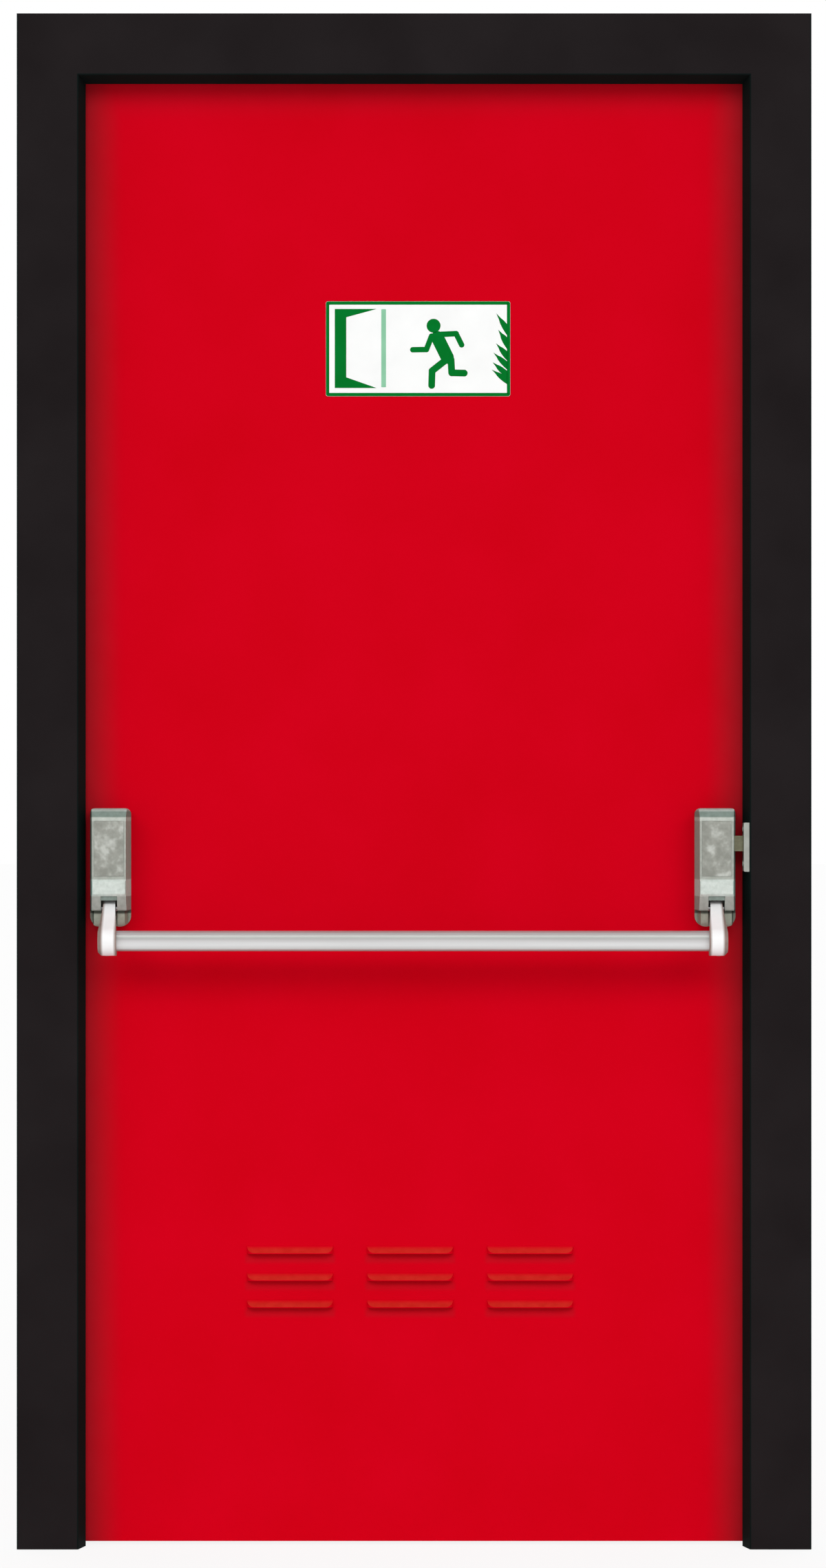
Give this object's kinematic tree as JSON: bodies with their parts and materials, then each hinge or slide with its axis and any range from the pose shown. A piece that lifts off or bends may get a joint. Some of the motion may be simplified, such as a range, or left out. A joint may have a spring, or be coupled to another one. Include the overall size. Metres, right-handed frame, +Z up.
{
  "type": "steel utility door with push bar",
  "caption": "Single-leaf sheet steel door in a pressed steel frame, opened by a horizontal push bar that draws back a side latch, with pressed ventilation louvres and a sign plate.",
  "frame": {"origin": "on the wall face of the hinge jamb's lowest strap, at floor level, in the plane of the leaf's push face, which is the middle of the frame's depth", "axes": "+X from the hinge jamb to the strike jamb, +Y from the push side to the pull side, +Z up"},
  "size_m": [1.086, 0.167, 2.098],
  "materials": {
    "frame_paint": "satin black paint",
    "seal_rubber": "matt black rubber",
    "galvanised_steel": "galvanised",
    "zinc_plated_steel": "zinc plated",
    "leaf_paint": "satin red paint",
    "sign_plastic": "satin white with a green border",
    "silver_casting": "silver painted casting",
    "grained_panel": "grained grey",
    "pin_steel": "ground",
    "bright_lever": "polished",
    "bar_aluminium": "satin anodised",
    "latch_steel": "yellow passivated zinc"
  },
  "bodies": {
    "frame": {"hinge_jamb": "frame_paint", "strike_jamb": "frame_paint", "frame_head": "frame_paint", "hinge_side_seal": "seal_rubber", "strike_side_seal": "seal_rubber", "head_seal": "seal_rubber", "hinge_jamb_wall_straps": "galvanised_steel", "strike_jamb_wall_straps": "galvanised_steel", "latch_keeper": "zinc_plated_steel", "lower_hinge_frame_half": "zinc_plated_steel", "middle_hinge_frame_half": "zinc_plated_steel", "upper_hinge_frame_half": "zinc_plated_steel"},
    "leaf": {"push_side_skin": "leaf_paint", "pull_side_skin": "leaf_paint", "leaf_top_channel": "leaf_paint", "leaf_bottom_channel": "leaf_paint", "exit_sign_plate": "sign_plastic", "lower_hinge_leaf_half": "zinc_plated_steel", "middle_hinge_leaf_half": "zinc_plated_steel", "upper_hinge_leaf_half": "zinc_plated_steel", "hinge_side_chassis": "silver_casting", "hinge_side_cover": "silver_casting", "hinge_side_face_panel": "grained_panel", "hinge_side_pivot_pin": "pin_steel", "latch_side_chassis": "silver_casting", "latch_side_cover": "silver_casting", "latch_side_face_panel": "grained_panel", "latch_side_pivot_pin": "pin_steel"},
    "bar": {"push_bar": "bar_aluminium", "hinge_side_lever": "bright_lever", "latch_side_lever": "bright_lever"},
    "latch": {"latch_bolt": "latch_steel"}
  },
  "joints": [
    {"name": "leaf_swing", "type": "hinge", "parent": "frame", "child": "leaf", "pos_m": [0.0795, 0.057, 1.01], "axis": [0, 0, 1], "range_deg": [0, 180]},
    {"name": "bar_press", "type": "hinge", "parent": "leaf", "child": "bar", "pos_m": [0.543, -0.025, 0.875], "axis": [1, 0, 0], "range_deg": [0, 25], "stiffness_Nm_per_rad": 8, "springref_deg": -22.92},
    {"name": "latch_draw", "type": "slide", "parent": "leaf", "child": "latch", "axis": [-1, 0, 0], "range_m": [0, 0.018]}
  ],
  "couplings": [
    {"joint": "latch_draw", "follows": "bar_press", "m_per_rad": 0.0412}
  ]
}
